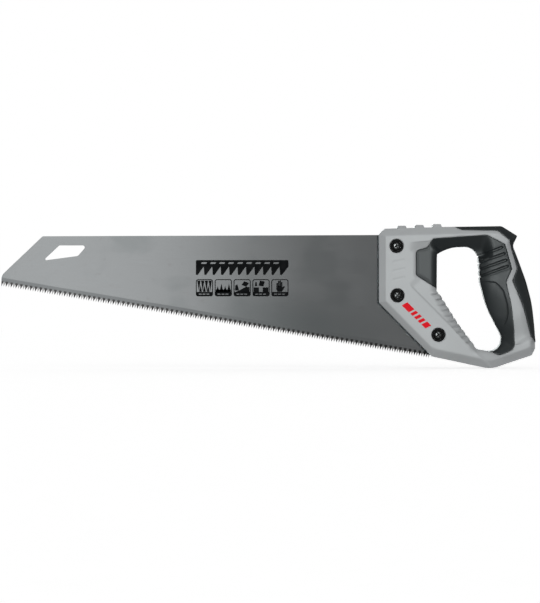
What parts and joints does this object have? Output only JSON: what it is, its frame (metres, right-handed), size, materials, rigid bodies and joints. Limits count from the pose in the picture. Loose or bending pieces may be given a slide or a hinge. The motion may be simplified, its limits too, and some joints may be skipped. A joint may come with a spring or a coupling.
{
  "type": "hand saw",
  "caption": "Hand saw with a tapered steel blade, set teeth, a hang hole near the toe and a closed two-material moulded handle held on by screws and sleeve nuts.",
  "frame": {"origin": "middle of the grip, half way between its front and its back, on the middle plane of the blade", "axes": "+X from the toe of the blade towards the back of the handle, +Z from the teeth towards the back edge of the blade, Y through the thickness, with the screw heads on the -Y side"},
  "size_m": [0.5497, 0.028, 0.1478],
  "materials": {
    "blade_steel": "satin rolled steel, fine grain along the blade, hardened teeth darker",
    "grey_plastic": "grey polypropylene, fine moulded texture, satin",
    "dark_rubber": "dark grey soft elastomer, matte",
    "black_steel": "black phosphated steel, semi-gloss",
    "blade_print": "black screen print on the blade",
    "handle_print": "red pad print on the handle"
  },
  "bodies": {
    "root": {"blade": "blade_steel", "handle_core": "grey_plastic", "inner_grip": "dark_rubber", "rear_grip": "dark_rubber", "blade_screw_top": "black_steel", "blade_screw_middle": "black_steel", "blade_screw_bottom": "black_steel", "cup_washer_top": "black_steel", "cup_washer_middle": "black_steel", "cup_washer_bottom": "black_steel", "sleeve_nut_top": "black_steel", "sleeve_nut_middle": "black_steel", "sleeve_nut_bottom": "black_steel"}
  },
  "joints": []
}
